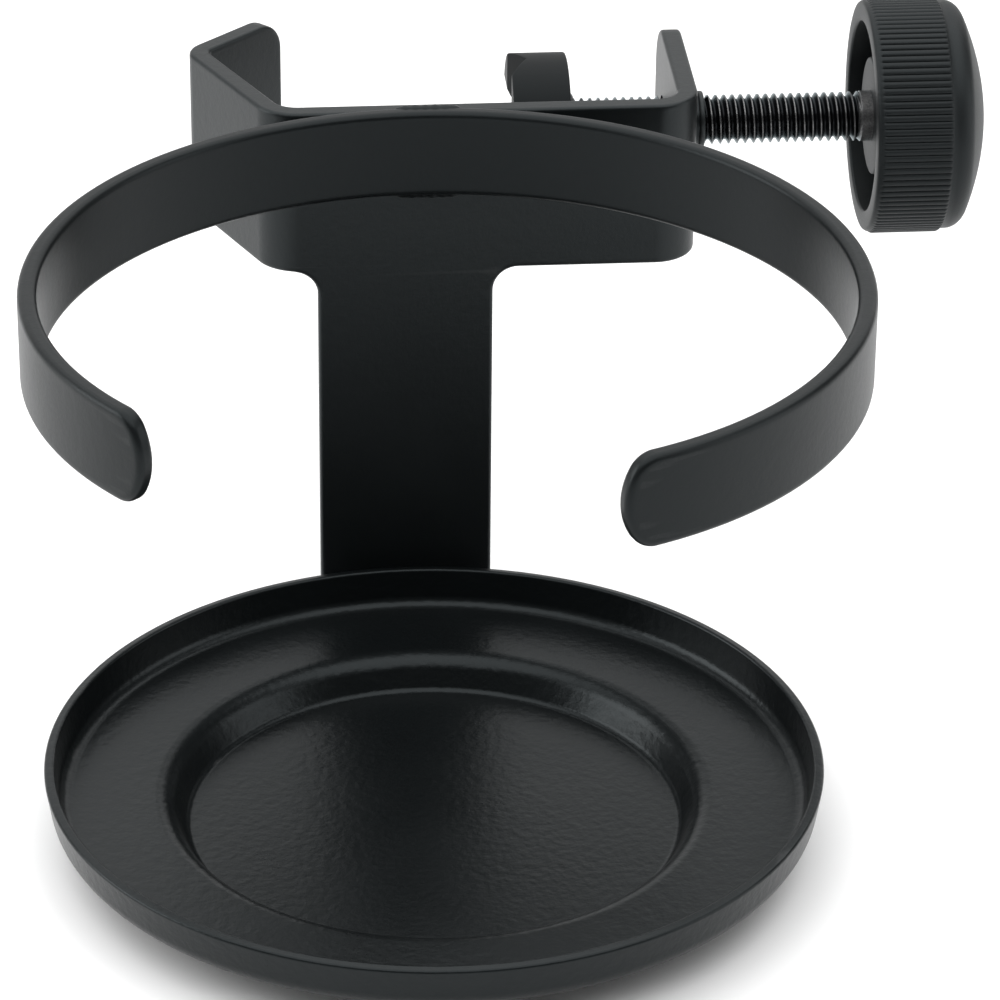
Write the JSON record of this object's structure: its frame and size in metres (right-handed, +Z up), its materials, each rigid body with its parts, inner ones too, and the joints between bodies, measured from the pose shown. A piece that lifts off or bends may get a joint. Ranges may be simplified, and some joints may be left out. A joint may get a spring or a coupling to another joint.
{
  "type": "clamp-on cup holder",
  "caption": "Clamp-on drink holder: strip-steel bracket with a V jaw and hand screw for a round pole, open cup ring and pressed saucer.",
  "frame": {"origin": "centre of the saucer's underside, which is the object's lowest face", "axes": "+Z up along the cup's axis; +X along the clamp screw towards its knob; +Y from the cup towards the pole; the ring is open towards -Y"},
  "size_m": [0.1137, 0.1215, 0.0715],
  "materials": {
    "bracket_paint": "satin black powder coat",
    "ring_paint": "satin black powder coat",
    "saucer_paint": "semi-gloss black powder coat",
    "screw_steel": "black oxide",
    "pad_plastic": "moulded black",
    "washer_steel": "zinc plated",
    "knob_plastic": "matte moulded black"
  },
  "bodies": {
    "holder": {"clamp_bracket": "bracket_paint", "cup_ring": "ring_paint", "ring_weld": "ring_paint", "saucer": "saucer_paint", "saucer_weld": "saucer_paint"},
    "thrust_washer": {"pad_washer": "washer_steel"},
    "pad": {"pressure_pad": "pad_plastic"},
    "screw": {"clamp_screw": "screw_steel", "knob": "knob_plastic"}
  },
  "joints": [
    {"name": "clamp_feed", "type": "slide", "parent": "holder", "child": "thrust_washer", "axis": [-1, 0, 0], "range_m": [-0.01, 0.018]},
    {"name": "screw_turn", "type": "hinge", "parent": "thrust_washer", "child": "screw", "pos_m": [0.0207, 0.064, 0.0575], "axis": [-1, 0, 0], "range_deg": [-3600, 6480]},
    {"name": "pad_swivel", "type": "hinge", "parent": "thrust_washer", "child": "pad", "pos_m": [0.0164, 0.064, 0.0575], "axis": [-1, 0, 0], "continuous": true}
  ],
  "couplings": [
    {"joint": "screw_turn", "follows": "clamp_feed", "rad_per_m": 6283.2}
  ]
}
